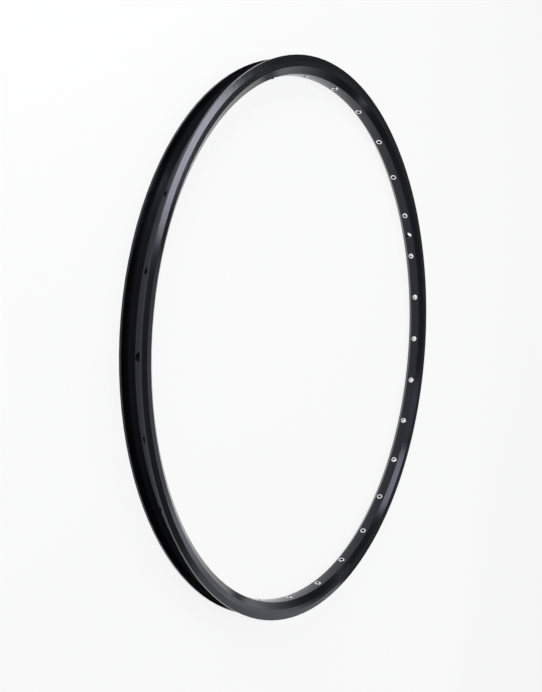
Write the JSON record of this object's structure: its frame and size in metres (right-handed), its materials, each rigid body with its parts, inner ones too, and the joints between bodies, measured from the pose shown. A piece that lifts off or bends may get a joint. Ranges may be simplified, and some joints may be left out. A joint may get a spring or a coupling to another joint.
{
  "type": "bicycle rim",
  "caption": "Double-wall black alloy bicycle rim with hooked flanges, a drop centre, eyeletted spoke holes and a valve hole; carries a clincher tyre.",
  "frame": {"origin": "centre of the rim, on the axle line, midway between its two sides", "axes": "+Z along the axle line, up from the side that the rim lies on; +X towards the valve hole"},
  "size_m": [0.6339, 0.634, 0.025],
  "materials": {
    "black_anodised": "satin black anodised",
    "bare_aluminium": "as extruded",
    "eyelet_metal": "bright plated"
  },
  "bodies": {
    "root": {"rim_hoop": "black_anodised", "joint_sleeve": "bare_aluminium", "eyelet_01": "eyelet_metal", "eyelet_02": "eyelet_metal", "eyelet_03": "eyelet_metal", "eyelet_04": "eyelet_metal", "eyelet_05": "eyelet_metal", "eyelet_06": "eyelet_metal", "eyelet_07": "eyelet_metal", "eyelet_08": "eyelet_metal", "eyelet_09": "eyelet_metal", "eyelet_10": "eyelet_metal", "eyelet_11": "eyelet_metal", "eyelet_12": "eyelet_metal", "eyelet_13": "eyelet_metal", "eyelet_14": "eyelet_metal", "eyelet_15": "eyelet_metal", "eyelet_16": "eyelet_metal", "eyelet_17": "eyelet_metal", "eyelet_18": "eyelet_metal", "eyelet_19": "eyelet_metal", "eyelet_20": "eyelet_metal", "eyelet_21": "eyelet_metal", "eyelet_22": "eyelet_metal", "eyelet_23": "eyelet_metal", "eyelet_24": "eyelet_metal", "eyelet_25": "eyelet_metal", "eyelet_26": "eyelet_metal", "eyelet_27": "eyelet_metal", "eyelet_28": "eyelet_metal"}
  },
  "joints": []
}
